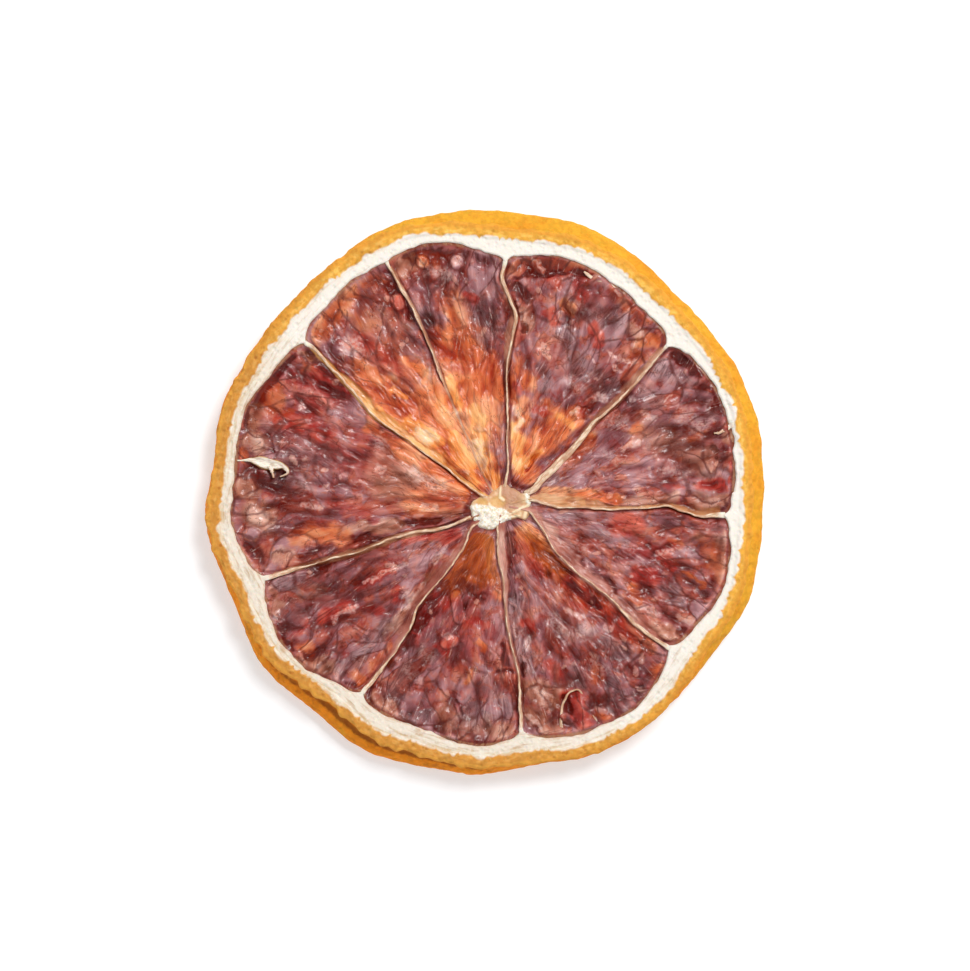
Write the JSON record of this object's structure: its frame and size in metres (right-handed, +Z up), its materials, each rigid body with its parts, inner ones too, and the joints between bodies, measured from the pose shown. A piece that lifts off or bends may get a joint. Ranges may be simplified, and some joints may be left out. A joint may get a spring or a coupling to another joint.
{
  "type": "dried blood orange wheel",
  "caption": "Thin dried cross-section of a blood orange with a leathery rind, pale pith and membranes, and shrunken dark red pulp, used as a garnish or decoration.",
  "frame": {"origin": "on the floor under the middle of the slice's overall width and length", "axes": "+Z up out of the shown cut face, +Y towards the segment boundary at the top of the picture, +X to the picture's right"},
  "size_m": [0.06, 0.0606, 0.0046],
  "materials": {
    "rind": "satin, golden amber, finely pored",
    "pith": "matt cream, slightly fibrous",
    "pulp": "glossy, wrinkled, dark red with orange near the core"
  },
  "bodies": {
    "root": {"orange_wheel": "pulp"}
  },
  "joints": []
}
